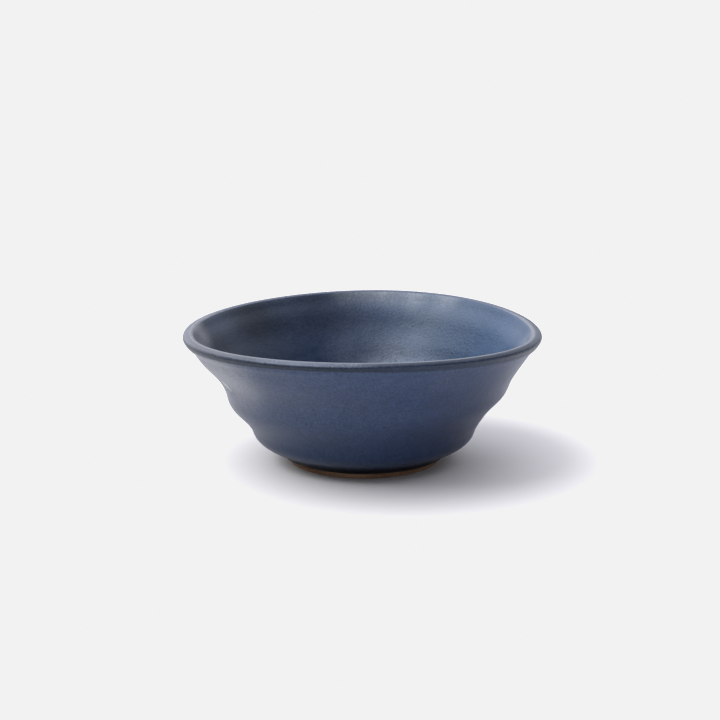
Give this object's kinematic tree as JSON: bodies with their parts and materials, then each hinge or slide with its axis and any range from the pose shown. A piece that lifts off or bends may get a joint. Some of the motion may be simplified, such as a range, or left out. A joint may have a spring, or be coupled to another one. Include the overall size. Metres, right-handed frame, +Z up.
{
  "type": "prep bowl",
  "caption": "Hand-thrown stoneware prep bowl with a flared wall, a rolled lip, a low bare clay foot and a satin blue glaze inside and out.",
  "frame": {"origin": "centre of the foot, on the surface that the bowl stands on", "axes": "+Z up, -Y towards the front of the bowl, where the lip stands highest, and +X to its right-hand side"},
  "size_m": [0.16, 0.16, 0.0626],
  "materials": {
    "bare_stoneware": "matte",
    "blue_glaze_outside": "satin",
    "blue_glaze_inside": "satin"
  },
  "bodies": {
    "root": {"clay_body": "bare_stoneware", "outside_glaze": "blue_glaze_outside", "inside_glaze": "blue_glaze_inside"}
  },
  "joints": []
}
